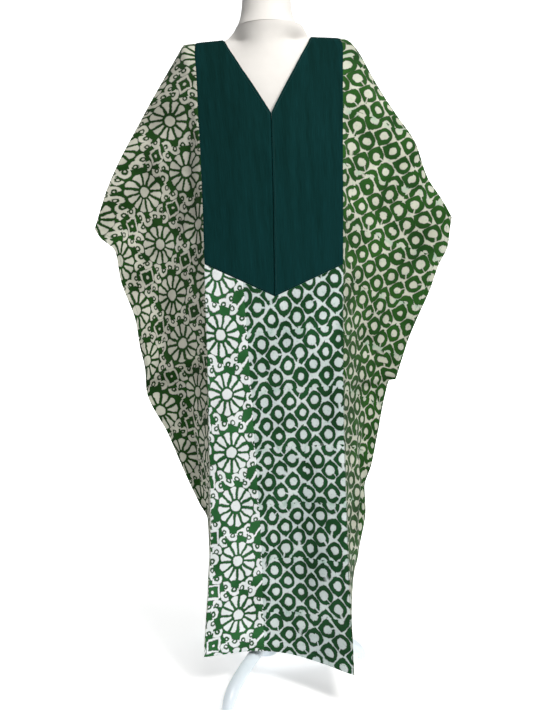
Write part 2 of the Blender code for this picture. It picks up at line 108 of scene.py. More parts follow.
LEFT_EDGE = (
    # along, x, y, z, mouth
    (0.000, -0.408, 0.000, 1.093, 0.000),
    (0.022, -0.396, 0.000, 1.074, 0.004),
    (0.072, -0.359, 0.000, 1.040, 0.018),
    (0.140, -0.346, 0.000, 0.973, 0.034),
    (0.247, -0.311, 0.000, 0.873, 0.042),
    (0.303, -0.303, -0.004, 0.817, 0.034),
    (0.366, -0.292, -0.008, 0.755, 0.014),
    (0.406, -0.291, -0.010, 0.716, 0.000),
    (0.534, -0.237, -0.022, 0.600, 0.000),
    (0.641, -0.195, -0.030, 0.502, 0.000),
    (0.716, -0.162, -0.038, 0.433, 0.000),
    (0.760, -0.143, -0.040, 0.395, 0.000),
    (0.906, -0.139, -0.045, 0.250, 0.000),
    (1.070, -0.150, -0.055, 0.087, 0.000),
)
RIGHT_EDGE = (
    # along, x, y, z, mouth
    (0.000, 0.439, 0.000, 1.121, 0.000),
    (0.021, 0.436, 0.000, 1.100, 0.004),
    (0.069, 0.430, 0.000, 1.053, 0.014),
    (0.117, 0.409, 0.000, 1.010, 0.026),
    (0.183, 0.387, 0.000, 0.948, 0.038),
    (0.258, 0.357, 0.000, 0.879, 0.044),
    (0.305, 0.340, -0.002, 0.835, 0.036),
    (0.368, 0.323, -0.004, 0.774, 0.018),
    (0.405, 0.3135, -0.006, 0.7375, 0.000),
    (0.409, 0.3120, -0.006, 0.7335, 0.000),
    (0.423, 0.2975, -0.006, 0.7315, 0.000),
    (0.443, 0.2905, -0.004, 0.7080, 0.000),
    (0.556, 0.270, -0.008, 0.597, 0.000),
    (0.631, 0.256, -0.014, 0.524, 0.000),
    (0.689, 0.239, -0.020, 0.468, 0.000),
    (0.745, 0.241, -0.030, 0.415, 0.000),
    (0.825, 0.226, -0.050, 0.336, 0.000),
    (0.892, 0.209, -0.075, 0.271, 0.000),
    (0.970, 0.203, -0.105, 0.196, 0.000),
    (1.090, 0.202, -0.140, 0.087, 0.000),
)
CENTRE_SEAM, NECK_DEPTH = 0.5055, 0.2165  # the point of the V: share across, metres down
NECK_LINE = (
    # share across, metres down
    (0.186, 0.0000), (0.200, 0.0248), (0.230, 0.0527), (0.260, 0.0745), (0.290, 0.0963), (0.320, 0.1165),
    (0.350, 0.1333), (0.410, 0.1663), (0.470, 0.1985), (CENTRE_SEAM, NECK_DEPTH),
    (0.530, 0.1990), (0.585, 0.1648), (0.640, 0.1310), (0.667, 0.1140), (0.695, 0.0938), (0.723, 0.0730),
    (0.750, 0.0525), (0.777, 0.0340), (0.805, 0.0143), (0.822, 0.0000),
)
NECK_SIDES = (NECK_LINE[0][0], NECK_LINE[-1][0])
BACK_NECK_DEPTH, BACK_NECK_ROUND = 0.082, 0.55
BIB_SIDE_DOWN, BIB_TIP_DOWN = 0.548, 0.619
YOKE_DOWN = 0.190
BOW_POWER = 1.2  # how full the centre cloth's bow is from seam to seam
CROWN, CROWN_FADE, NECK_ROOM = 0.0055, 0.045, 0.18  # rise of the shoulders towards the neck
RECEDE = 1.7  # how fast a wide wing falls back from its seam
STRAIGHT_BACK, WELL_OUT = 0.3, 0.8  # a wing's slant where it starts to fall back, and where it fully does
FOLD_GAP, LAYER = 0.0002, 0.0018  # least distance from a wing's middle, at its seam and further out
NARROW, OPENS_BY = 0.05, 0.15
RIDGE_FADE = 0.07  # how far down the shoulder ridge's bends reach
CENTRE_WIDE, CENTRE_GROWS = 0.335, 0.05  # flat width of the centre cloth at the top, and its growth

# Soft folds of the cloth, in the front view. A minus height is a trough.
FOLDS = {
    "wing_left_front": (
        # from x, z, to x, z, height, width
        (-0.190, 1.480, -0.300, 1.040, 0.005, 0.030),
        (-0.172, 1.430, -0.166, 0.920, -0.006, 0.012),
        (-0.205, 1.250, -0.330, 0.960, -0.004, 0.022),
        (-0.385, 1.080, -0.215, 0.930, 0.005, 0.024),
        (-0.300, 0.860, -0.150, 0.880, 0.004, 0.020),
        (-0.235, 0.690, -0.165, 0.360, 0.007, 0.016),
        (-0.195, 0.740, -0.148, 0.250, -0.006, 0.013),
    ),
    "wing_right_front": (
        (0.200, 1.480, 0.320, 1.130, 0.005, 0.028),
        (0.182, 1.430, 0.181, 0.900, -0.005, 0.011),
        (0.235, 1.320, 0.370, 1.020, -0.004, 0.020),
        (0.420, 1.100, 0.240, 0.940, 0.005, 0.022),
        (0.350, 0.900, 0.200, 0.860, -0.004, 0.018),
        (0.205, 0.700, 0.212, 0.180, 0.009, 0.011),
        (0.240, 0.680, 0.228, 0.300, -0.006, 0.010),
    ),
    "wing_left_back": (
        (-0.185, 1.470, -0.270, 0.700, 0.008, 0.026),
        (-0.170, 1.400, -0.190, 0.600, -0.007, 0.016),
        (-0.230, 1.360, -0.345, 0.990, -0.006, 0.022),
        (-0.220, 0.900, -0.170, 0.300, 0.007, 0.015),
    ),
    "wing_right_back": (
        (0.190, 1.480, 0.290, 0.760, 0.008, 0.024),
        (0.180, 1.380, 0.200, 0.640, -0.007, 0.015),
        (0.250, 1.340, 0.375, 1.000, -0.005, 0.022),
        (0.225, 0.860, 0.205, 0.260, 0.007, 0.014),
    ),
    "front_panel": (
        (-0.070, 0.960, -0.105, 0.060, 0.003, 0.030),
        (0.055, 0.880, 0.100, 0.060, -0.004, 0.032),
        (0.165, 0.760, 0.190, 0.050, 0.005, 0.012),
        (-0.010, 0.700, -0.020, 0.060, 0.003, 0.024),
        (-0.120, 0.620, -0.132, 0.060, -0.003, 0.012),
    ),
    "bib": (
        (-0.085, 1.400, -0.070, 1.000, 0.0018, 0.030),
        (0.080, 1.380, 0.070, 0.980, -0.0015, 0.026),
        (0.006, 1.285, 0.012, 1.180, 0.0022, 0.010),
        (0.130, 1.430, 0.125, 1.120, 0.0018, 0.018),
    ),
    "back": (
        (-0.100, 1.420, -0.120, 0.500, 0.008, 0.020),
        (-0.050, 1.330, -0.085, 0.060, -0.009, 0.024),
        (0.005, 1.360, -0.010, 0.060, 0.009, 0.022),
        (0.060, 1.250, 0.075, 0.060, -0.008, 0.026),
        (0.115, 1.400, 0.140, 0.300, 0.008, 0.018),
        (0.150, 0.800, 0.170, 0.060, -0.006, 0.014),
        (-0.130, 0.760, -0.135, 0.060, 0.006, 0.013),
    ),
}
# A ledge bulges out above its line and falls back sharply below it.
LEDGES = {
    "wing_left_front": (-0.330, 0.720, -0.130, 0.818, 0.034, 0.015),
    "wing_right_front": (0.335, 0.732, 0.160, 0.755, 0.016, 0.018),
    "wing_left_back": (-0.320, 0.690, -0.150, 0.760, 0.009, 0.026),
    "wing_right_back": (0.330, 0.705, 0.205, 0.740, 0.009, 0.022),
}
LEDGE_LIP, LEDGE_REACH = 0.045, 0.32  # how far above and below its line a ledge dies out
LEDGE_RISE = 0.55  # share of a ledge's height that lies above the plain form
INWARD_SHARE = 0.42  # share of the room behind a layer that its troughs may take
RIPPLE_WING, RIPPLE_CENTRE = 0.0016, 0.0009
HEM = 0.015  # depth of the turned hem
GROOVE = 0.0028  # reach of the dip along a seam
SEWN = (0.0011, GROOVE)  # depth and reach of a sewn border's dip
CENTRE_DIP, CENTRE_LAP = (0.0024, 0.0035), (-0.0012, 0.0060)  # the right half laps over the left
SHOULDER_SEAM = 0.030  # how far the shoulder seam runs out in front of the shoulder line

PITCH = 0.134  # the wheels' repeat
WHEEL, HUB = 0.0490, 0.0130
PETAL_START, PETAL_END, PETAL_ROUND, HALF_SPOKE = 0.0190, 0.0485, 0.020, 0.0034
SCROLL = (0.0105, 0.0040, 0.0026)  # arm, half the stroke, dot
WIDE_SCROLL = (0.0112, 0.0042, 0.0028)
SCROLL_OUT = 0.0335  # from a square's centre to the scrolls round it
RING_COLUMNS, RING_ROWS = PITCH / 4, 0.0530
RING_START = 0.0038  # where a block's first row of rings starts
RING_OUTER, RING_HOLE, HALF_SLIT = 0.0199, 0.0108, 0.0017

# Where the print lies on the cut cloth
WHEELS_FROM_SEAM, FIRST_WHEEL_DOWN, PRINT_TILT = 0.031, 0.571, 0.0682  # on the centre cloth
WING_WIDE, WING_NARROWS, WING_DROP = 0.317, 0.242, 1.07  # flat width of a wing, and its loss down the seam
WING_EDGE_DOWN, WING_EDGE_RUN = 0.40, 0.970  # the wing's outer edge, in metres along the grain
WING_ORIGIN = np.array((0.3455, 0.2540))  # a wheel's centre
WING_COLUMN = np.array((-0.1327, -0.0198))  # from one wheel to the next across
WING_ROW = np.array((-0.0314, 0.1203))  # and down
WHEEL_COLUMNS_OUT = 12  # keeps the left wing within the wheels
RINGS_FROM_SEAM = 4.02  # keeps the right wing within the rings
BACK_ROWS_UP = 1.1  # turns the back layer's rows against the front's

JOINT_DROP, JOINT_REACH = 0.007, 0.025  # the neck joint, moved down from the solids
JOINT_STEP = 0.05  # the torso's top, wider than the solids' by this share
FLARE_RIGHT, PINCH_LEFT = 0.05, 0.10  # shares by which the neck's foot goes out and in
EVEN_FROM, EVEN_FADE = 1.42, 0.04  # height from which the torso's chest is evened

OUTWARD = {"front": -1.0, "back": 1.0}
BEHIND = {"front": "back", "back": "front"}


def smooth_table(rows):
    """A function of the first column that runs smoothly through the rows, with no overshoot."""
    table = np.array(rows, float)
    at, values = table[:, 0], table[:, 1:]
    step = np.diff(at)
    slope = np.diff(values, axis=0) / step[:, None]
    tangent = np.zeros_like(values)
    tangent[0], tangent[-1] = slope[0], slope[-1]
    for k in range(1, len(at) - 1):
        before, after = slope[k - 1], slope[k]
        same = before * after > 0
        w1, w2 = 2 * step[k] + step[k - 1], step[k] + 2 * step[k - 1]
        mean = (w1 + w2) / (w1 / np.where(same, before, 1.0) + w2 / np.where(same, after, 1.0))
        tangent[k] = np.where(same, mean, 0.0)

    def read(x):
        x = np.asarray(x, float)
        k = np.clip(np.searchsorted(at, x) - 1, 0, len(step) - 1)
        t = np.clip((x - at[k]) / step[k], 0.0, 1.0)[..., None]
        a = values[k] * (1 + 2 * t) * (1 - t) ** 2 + values[k + 1] * t * t * (3 - 2 * t)
        b = tangent[k] * t * (1 - t) ** 2 - tangent[k + 1] * t * t * (1 - t)
        return a + b * step[k][..., None]

    return read


SEAMS = {"front": smooth_table(FRONT_SEAMS), "back": smooth_table(BACK_SEAMS)}
RIDGES = {"left": smooth_table(LEFT_RIDGE), "right": smooth_table(RIGHT_RIDGE)}
RIDGE_LENGTH = {"left": LEFT_RIDGE[-1][0], "right": RIGHT_RIDGE[-1][0]}
EDGES = {"left": smooth_table(LEFT_EDGE), "right": smooth_table(RIGHT_EDGE)}
EDGE_LENGTH = {"left": LEFT_EDGE[-1][0], "right": RIGHT_EDGE[-1][0]}


def centre_points(layer, across, down):
    row = SEAMS[layer](down)
    left, right, bow = row[..., 0:3], row[..., 3:6], row[..., 6]
    p = left + (right - left) * across[..., None]
    p[..., 1] += bow * np.sin(np.pi * np.clip(across, 0, 1)) ** BOW_POWER
    near_neck = np.minimum(1.0, np.minimum(across, 1 - across) / NECK_ROOM)
    p[..., 2] += CROWN * near_neck * np.exp(-down / CROWN_FADE)
    return p


def wing_points(layer, hand, out, down):
    at = 0 if hand == "left" else 3
    seam = SEAMS[layer](down * SEAM_LENGTH)[..., at:at + 3]
    opposite = SEAMS[BEHIND[layer]](down * SEAM_LENGTH)[..., at:at + 3]
    edge_row = EDGES[hand](down * EDGE_LENGTH[hand])
    edge = edge_row[..., 0:3].copy()
    edge[..., 1] += OUTWARD[layer] * edge_row[..., 3] / 2
    p = seam + (edge - seam) * out[..., None]
    wide = np.abs(edge[..., 0] - seam[..., 0])
    slant = wide / np.maximum(np.abs(edge[..., 1] - seam[..., 1]), 1e-6)
    turned = np.clip((slant - STRAIGHT_BACK) / (WELL_OUT - STRAIGHT_BACK), 0.0, 1.0)
    power = 1 + (RECEDE - 1) * turned
    p[..., 1] = seam[..., 1] + (edge[..., 1] - seam[..., 1]) * (1 - (1 - out) ** power)
    middle = (seam[..., 1] + opposite[..., 1]) / 2 * (1 - out) + edge_row[..., 1] * out
    apart = np.maximum(FOLD_GAP, LAYER * np.minimum(1.0, wide / NARROW)) * np.minimum(1.0, out / OPENS_BY)
    p[..., 1] = middle + OUTWARD[layer] * np.hypot(p[..., 1] - middle, apart)
    ridge = RIDGES[hand]
    first, last = ridge(0.0), ridge(RIDGE_LENGTH[hand])
    bend = ridge(out * RIDGE_LENGTH[hand]) - (first + (last - first) * out[..., None])
    fade = np.exp(-down / RIDGE_FADE)
    p[..., 0] += bend[..., 0] * fade
    p[..., 2] += bend[..., 1] * fade
    return p


def normals(p, layer):
    """Outward directions of a grid of points."""
    n = np.cross(np.gradient(p, axis=1), np.gradient(p, axis=0))
    n /= np.maximum(np.linalg.norm(n, axis=-1, keepdims=True), 1e-12)
    middle = n[n.shape[0] // 2, n.shape[1] // 2, 1]
    return n if middle * OUTWARD[layer] > 0 else -n


def smoothstep(x):
    x = np.clip(x, 0.0, 1.0)
    return x * x * (3 - 2 * x)


def on_line(p, x0, z0, x1, z1, width):
    """Shares along a fold's line, and distances from it, which wander a little."""
    run = np.array((x1 - x0, z1 - z0))
    long = float(np.hypot(*run))
    run = run / long
    dx, dz = p[..., 0] - x0, p[..., 2] - z0
    t = (dx * run[0] + dz * run[1]) / long
    wander = 0.35 * width * np.sin(7.0 * t + 40 * x0) + 0.2 * width * np.sin(17.0 * t + 23 * z0)
    return t, dx * -run[1] + dz * run[0] + wander


def folds(name, p):
    """How far the soft folds stand off the plain form."""
    total = np.zeros(p.shape[:-1])
    for *line, height, width in FOLDS[name]:
        t, d = on_line(p, *line, width)
        ends = smoothstep(t / 0.3) * smoothstep((1 - t) / 0.3)
        total += height * ends * np.exp(-(d / width) ** 2)
    return total


def ledge(name, p):
    """How far a wing's ledge stands off the plain form."""
    *line, height, width = LEDGES[name]
    t, d = on_line(p, *line, width)
    below = -d if line[2] > line[0] else d
    dying = np.exp(-np.maximum(below, 0) / LEDGE_REACH)
    lip = LEDGE_RISE * np.exp(np.minimum(below, 0) / LEDGE_LIP) * dying
    fall = -(1.0 + LEDGE_RISE) * smoothstep(below / width) * dying
    return height * (lip + fall) * smoothstep(t / 0.06) * smoothstep((1 - t) / 0.12)


def placed(name, data, material=None):
    """Puts a mesh, lamp or camera into the scene."""
    item = bpy.data.objects.new(name, data)
    bpy.context.collection.objects.link(item)
    if material:
        data.materials.append(material)
    return item


def shell(name, outer, inner, cut, material):
    """A thin closed shell between two grids of points, with the cut's coordinates as its UV map."""
    rows, columns = outer.shape[:2]
    count = rows * columns
    k = (np.arange(rows - 1)[:, None] * columns + np.arange(columns - 1)[None, :]).ravel()
    quads = np.stack([k, k + 1, k + columns + 1, k + columns], 1)
    back = quads[:, ::-1] + count
    rim = list(range(columns)) + [j * columns + columns - 1 for j in range(1, rows)]
    rim += [(rows - 1) * columns + i for i in range(columns - 2, -1, -1)]
    rim += [j * columns for j in range(rows - 2, 0, -1)]
    rim = np.array(rim)
    following = np.roll(rim, -1)
    sides = np.stack([rim, rim + count, following + count, following], 1)
    faces = np.concatenate([quads, back, sides])
    n = np.cross(outer[0, 1] - outer[0, 0], outer[1, 0] - outer[0, 0])
    if float(n @ (outer[0, 0] - inner[0, 0])) < 0:
        faces = faces[:, ::-1]
    mesh = bpy.data.meshes.new(name)
    verts = np.concatenate([outer.reshape(-1, 3), inner.reshape(-1, 3)]) + SHIFT
    mesh.from_pydata(verts.tolist(), [], faces.tolist())
    smooth = np.ones(len(faces), bool)
    smooth[2 * len(quads):] = False
    mesh.polygons.foreach_set("use_smooth", smooth)
    uv = np.concatenate([cut.reshape(-1, 2)] * 2)
    loops = np.zeros(len(mesh.loops), np.int32)
    mesh.loops.foreach_get("vertex_index", loops)
    layer = mesh.uv_layers.new(name="cut")
    layer.data.foreach_set("uv", uv[loops].astype(np.float32).ravel())
    mesh.update()
    item = placed(name, mesh, material)
    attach(item, "root")
    return item


def spaced(first, last, count, wide):
    """Shares from first to last, with extra ones near both ends for the seams' dips. wide is in metres."""
    span = last - first
    close = GROOVE / wide * span
    near = np.array([0.0, 0.15, 0.4, 0.7, 1.0, 1.5, 2.2]) * close
    middle = np.linspace(3.2 * close, span - 3.2 * close, count)
    return first + np.concatenate([near, middle, span - near[::-1]])


def neck_line(across):
    at, down = np.array(NECK_LINE).T
    return np.interp(across, at, down)


def back_neck_line(across):
    first, last = NECK_SIDES
    t = np.clip((across - first) / (last - first), 0.0, 1.0)
    return BACK_NECK_DEPTH * np.sin(np.pi * t) ** BACK_NECK_ROUND


def bib_foot(across):
    share = np.where(across < CENTRE_SEAM, across / CENTRE_SEAM, (1 - across) / (1 - CENTRE_SEAM))
    return BIB_SIDE_DOWN + (BIB_TIP_DOWN - BIB_SIDE_DOWN) * share


def dip(distance, depth, reach):
    """The small dip of the cloth along a seam, at a distance from it in metres."""
    return -depth * np.exp(-(distance / reach) ** 2)


def centre_width(down):
    return CENTRE_WIDE + CENTRE_GROWS * down / SEAM_LENGTH


def centre_cut(across, down):
    """Print coordinates of the centre cloth: x from the border between wheels and rings, y down."""
    u = across * centre_width(down)
    column = WHEELS_FROM_SEAM + PRINT_TILT * (down - FIRST_WHEEL_DOWN)
    x = u - column - PITCH / 2
    y = (down - FIRST_WHEEL_DOWN) + PRINT_TILT * (u - column)
    return np.stack([x, y], -1)


def wing_width(down):
    """Flat width of a wing at a share down."""
    return WING_WIDE - WING_NARROWS * WING_DROP * down


def wing_cut(layer, hand, out, down):
    """Print coordinates of a wing, whose grain is tilted against the seam."""
    u = out * wing_width(down)
    v = (1 - out) * SEAM_LENGTH * down + out * (WING_EDGE_DOWN + WING_EDGE_RUN * WING_DROP * down)
    flat = np.stack([u, v], -1) - WING_ORIGIN
    columns_rows = flat @ np.linalg.inv(np.stack([WING_COLUMN, WING_ROW]))
    x = (columns_rows[..., 0] - WHEEL_COLUMNS_OUT) * PITCH - PITCH / 2
    y = columns_rows[..., 1] * PITCH
    if hand == "right":
        x = RINGS_FROM_SEAM - columns_rows[..., 0] * PITCH
    if layer == "back":
        y = BACK_ROWS_UP * PITCH - y
    return np.stack([x, y], -1)


def limit_inward(offset, own, other, layer):
    """Keeps a layer's troughs from reaching the layer behind it."""
    room = np.maximum((own[..., 1] - other[..., 1]) * OUTWARD[layer], 0.0)
    return np.maximum(offset, -np.maximum(INWARD_SHARE * room - CLOTH * 1.2, 0.0))


def draw_in(top, bottom, edge, inner, drawn=HALF_GAP):
    """Draws one border of a shell in by half a seam's gap, and its under side by the given length."""
    inward = top[inner] - top[edge]
    inward /= np.linalg.norm(inward, axis=-1, keepdims=True)
    top[edge] += inward * HALF_GAP
    bottom[edge] += inward * drawn


def level(down):
    """A border that lies equally far down all across."""
    return lambda across: np.full_like(across, down)


surfaces = {}


def wing(hand, layer, material):
    """One layer of a wing, from the centre cloth's seam out to the edge and from the shoulder to the hem."""
    name = f"wing_{hand}_{layer}"
    out = spaced(0.0, 1.0, 62, wide=0.30)
    down = np.concatenate([
        np.linspace(0, 0.05, 16)[:-1], np.linspace(0.05, 0.97, 230)[:-1], np.linspace(0.97, 1, 20),
    ])
    a, b = np.meshgrid(out, down)
    p = wing_points(layer, hand, a, b)
    other = wing_points(BEHIND[layer], hand, a, b)
    n = normals(p, layer)
    wide = np.linalg.norm(p[:, -1:] - p[:, :1], axis=-1)
    from_seam, from_edge = a * wide, (1 - a) * wide
    offset = folds(name, p) * smoothstep(from_seam / 0.03) * smoothstep(from_edge / 0.03)
    offset *= smoothstep(b / 0.06) * smoothstep(wide / 0.05)
    ripple = np.sin(61 * p[..., 0] + 23 * p[..., 2]) * np.sin(19 * p[..., 2] - 31 * p[..., 0] + 1.7)
    ripple *= smoothstep(b / 0.1) * smoothstep(from_edge / 0.03) * smoothstep(from_seam / 0.02)
    offset += RIPPLE_WING * ripple
    offset += dip(from_seam, *SEWN) * smoothstep(b / 0.01)
    bulge = ledge(name, p) * smoothstep(from_seam / 0.012) * smoothstep(from_edge / 0.010)
    bulge = limit_inward(bulge, p, other, layer)
    offset = limit_inward(offset + bulge, p, other, layer) - bulge
    sign = OUTWARD[layer]
    top = p + n * offset[..., None]
    top[..., 1] += sign * bulge
    n = normals(top, layer)
    least = CLOTH * np.abs(n[..., 1]) + HALF_GAP
    middle = EDGES[hand](down * EDGE_LENGTH[hand])[:, 1]
    top[:, -1, 1] = middle + sign * np.maximum((top[:, -1, 1] - middle) * sign, least[:, -1])
    top[0, :, 1] = sign * np.maximum(top[0, :, 1] * sign, least[0])
    bottom = top - n * CLOTH
    draw_in(top, bottom, np.s_[:, 0], np.s_[:, 1], HALF_GAP + CLOTH * 0.55)
    item = shell(name + "_cloth", top, bottom, wing_cut(layer, hand, a, b), material)
    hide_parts(name)
    surfaces[name] = (out, down, level(0.0), level(1.0), top, n)


def centre(name, layer, span, head, foot, columns, rows, fold_name, material, seams, wave=0.0):
    """A piece of the centre cloth. seams names the borders that are sewn, and the one on the fold."""
    across = spaced(span[0], span[1], columns, wide=0.35 * (span[1] - span[0]))
    share_rows = spaced(0.0, 1.0, rows, wide=0.9)
    a, s = np.meshgrid(across, share_rows)
    top_line, bottom_line = head(a), foot(a)
    b = top_line + (bottom_line - top_line) * s
    p = centre_points(layer, a, b)
    n = normals(p, layer)
    width = centre_width(b)
    fade = smoothstep(a * width / 0.03) * smoothstep((1 - a) * width / 0.03)
    fade *= smoothstep((b - 0.03) / 0.12)
    if layer == "front":
        fade *= smoothstep(np.abs(bib_foot(a) - b) / 0.03) * 0.7 + 0.3
    ripple = np.sin(47 * p[..., 0] + 9 * p[..., 2]) * np.sin(17 * p[..., 2] - 21 * p[..., 0])
    offset = folds(fold_name, p) * fade + RIPPLE_CENTRE * fade * ripple
    for side, distance in (
        ("left", (a - span[0]) * width), ("right", (span[1] - a) * width),
        ("top", b - top_line), ("bottom", bottom_line - b),
    ):
        if side in seams:
            depth, reach = seams[side]
            offset += dip(distance, depth, reach)
        elif side == "bottom":
            turned = 0.0004 * smoothstep((HEM - distance) / 0.002 + 0.5)
            offset += turned + dip(distance - HEM, 0.0006, 0.0016)
    if name.startswith("bib"):
        share = np.minimum(a, 1 - a) / NECK_SIDES[0]
        line = 0.004 + SHOULDER_SEAM * np.maximum(1 - share, 0)
        offset += dip(b - line, 0.0010, 0.0022) * smoothstep((1.02 - share) / 0.1)
    offset += wave * smoothstep((b - 0.5) / 0.6) * np.sin(a * 23)
    top = p + n * offset[..., None]
    n = normals(top, layer)
    if "fold" in seams:
        sign = OUTWARD[layer]
        on_fold = b[0] < 1e-9
        least = CLOTH * np.abs(n[0, :, 1]) + HALF_GAP
        top[0, :, 1] = np.where(on_fold, sign * np.maximum(top[0, :, 1] * sign, least), top[0, :, 1])
    bottom = top - n * CLOTH
    for edge, inner in ((np.s_[:, 0], np.s_[:, 1]), (np.s_[:, -1], np.s_[:, -2]), (0, 1), (-1, -2)):
        draw_in(top, bottom, edge, inner)
    item = shell(name + "_cloth", top, bottom, centre_cut(a, b), material)
    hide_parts(name)
    surfaces[name] = (across, share_rows, head, foot, top, n)


# Materials


def operation(kind, turned=False):
    """A method that adds a Math node, with its two values turned round where asked."""
    def method(self, *others):
        values = (self, *others)
        return Maths.node(kind, *(values[::-1] if turned else values))

    return method


class Maths:
    """A socket with arithmetic: each operation adds a Math node to the tree."""

    tree = None
    __add__ = __radd__ = operation("ADD")
    __sub__ = operation("SUBTRACT")
    __rsub__ = operation("SUBTRACT", turned=True)
    __mul__ = __rmul__ = operation("MULTIPLY")
    __truediv__ = operation("DIVIDE")
    abs = operation("ABSOLUTE")
    min = operation("MINIMUM")
    max = operation("MAXIMUM")
    floor = operation("FLOOR")
    sin = operation("SINE")
    power = operation("POWER")
    over = operation("GREATER_THAN")

    def __init__(self, socket):
        self.socket = socket

    @classmethod
    def node(cls, kind, *values, clamp=False):
        made = cls.tree.nodes.new("ShaderNodeMath")
        made.operation = kind
        made.use_clamp = clamp
        feed(made, values)
        return Maths(made.outputs[0])

    def soft(self, blur):
        """1 where positive, 0 where negative, with a soft edge."""
        return self.node("MULTIPLY_ADD", self, 1 / blur, 0.5, clamp=True)


def feed(made, values):
    """Links or sets a node's inputs in their order."""
    for k, value in enumerate(values):
        if isinstance(value, Maths):
            Maths.tree.links.new(value.socket, made.inputs[k])
        else:
            made.inputs[k].default_value = value


def length(a, b):
    return (a * a + b * b).power(0.5)


def mix(share, low, high):
    return low + (high - low) * share


def combine(x, y, z=0.0):
    made = Maths.tree.nodes.new("ShaderNodeCombineXYZ")
    feed(made, (x, y, z))
    return made.outputs[0]


def noise(vector, scale, detail, colour=False):
    made = Maths.tree.nodes.new("ShaderNodeTexNoise")
    made.noise_dimensions = "3D"
    Maths.tree.links.new(vector, made.inputs["Vector"])
    made.inputs["Scale"].default_value = scale
    made.inputs["Detail"].default_value = detail
    return made.outputs["Color"] if colour else Maths(made.outputs[0])


def white_noise(x, y, z=0.0):
    made = Maths.tree.nodes.new("ShaderNodeTexWhiteNoise")
    made.noise_dimensions = "3D"
    Maths.tree.links.new(combine(x, y, z), made.inputs["Vector"])
    return Maths(made.outputs["Value"])


def split(vector):
    made = Maths.tree.nodes.new("ShaderNodeSeparateXYZ")
    Maths.tree.links.new(vector, made.inputs[0])
    return [Maths(made.outputs[k]) for k in range(3)]


def new_material(name):
    material = bpy.data.materials.new(name)
    material.use_nodes = True
    Maths.tree = material.node_tree
    return material, material.node_tree.nodes["Principled BSDF"]


def cut_coordinates():
    made = Maths.tree.nodes.new("ShaderNodeUVMap")
    made.uv_map = "cut"
    x, y, _ = split(made.outputs[0])
    return x, y


def scroll(a, b, arm, stroke, dot):
    """An S-shaped scroll with a dot in each hook: positive inside. a runs along it, b across."""
    side = a.over(0.0) * 2 - 1
    x = a.abs() - arm
    y = b * side
    bow = stroke - (length(x, y) - arm).abs()
    open_side = x * 0.25 + arm * 0.38 - y
    return bow.min(open_side).max(dot - length(x, y))


def wheels(x, y):
    """The wheel border: wheels, squares and scrolls, positive where the cloth stays white."""
    column, row = ((x + PITCH) / PITCH).floor(), ((y + PITCH / 2) / PITCH).floor()
    cx = x + PITCH - (column + 0.5) * PITCH
    cy = y - row * PITCH
    turn = white_noise(column, row)
    shift = white_noise(column, row, 7.0)
    wx, wy = cx + (shift - 0.5) * 0.006, cy + (turn - 0.5) * 0.006
    r = length(wx, wy)
    angle = Maths.node("ARCTAN2", wy, wx) + turn * 2.0
    sector = math.pi / 6
    t = angle / sector
    from_spoke = ((t - t.floor()) - 0.5).abs()
    spoke = r * ((0.5 - from_spoke) * sector).sin()
    petal = (spoke - HALF_SPOKE).min(PETAL_END - from_spoke * from_spoke * PETAL_ROUND - r)
    wheel = petal.min(r - PETAL_START).max(HUB - r)
    outside = r - (WHEEL + 0.0008)

    # Leaning scrolls between the wheels
    ax, ay = cx.abs(), cy.abs()
    half = PITCH / 2
    lean = (turn - 0.5) * 0.9
    marks = scroll(cx + (ay - half) * lean, (cy.over(0.0) * 2 - 1) * (ay - half), *WIDE_SCROLL)
    marks = marks.max(scroll(cy - (ax - half) * lean, (cx.over(0.0) * 2 - 1) * (ax - half), *WIDE_SCROLL))

    # Scrolls round a square with a dot, or round a slanted bar, where four wheels meet
    sx, sy = cx - half * (cx.over(0.0) * 2 - 1), cy - half * (cy.over(0.0) * 2 - 1)
    bx, by = sx.abs(), sy.abs()
    marks = marks.max(scroll(sx, by - SCROLL_OUT, *SCROLL))
    marks = marks.max(scroll(sy, bx - SCROLL_OUT, *SCROLL))
    square_column, square_row = (x / PITCH).floor(), (y / PITCH).floor()
    size = 0.0170 + 0.003 * white_noise(square_column, square_row, 3.0)
    frame_size = bx.max(by * 0.94)
    square = 0.0026 - (frame_size - (size - 0.0026)).abs()
    square = square.min((sx * sy * -70.0 + 0.0135).max(length(bx - size, by - size) - 0.0050))
    square = square.max(0.0036 - length(sx, sy))
    bar = (0.0030 - (sx * 0.72 + sy * 0.70 + 0.0085).abs()).min(0.0125 - (sy + 0.0015).abs())
    square = mix(x.over(-0.030), square, bar.min(0.0290 - bx))
    marks = marks.max(square)
    return wheel.max(marks.min(outside))


def rings(x, y):
    """The ring field, in blocks that cut off every third row: positive where the cloth stays white."""
    block_x, block_y = (x / PITCH).floor(), (y / PITCH).floor()
    slip = (white_noise(block_x, block_y, 1.0) - 0.5) * 0.005
    slide = (white_noise(block_x, block_y, 2.0) - 0.5) * 0.006
    local = y - block_y * PITCH + slide
    return ring_lattice(x + slip, local, block_y, 0.0).min(
        ring_lattice(x + slip + RING_COLUMNS, local + RING_ROWS / 2, block_y, 40.0)
    )


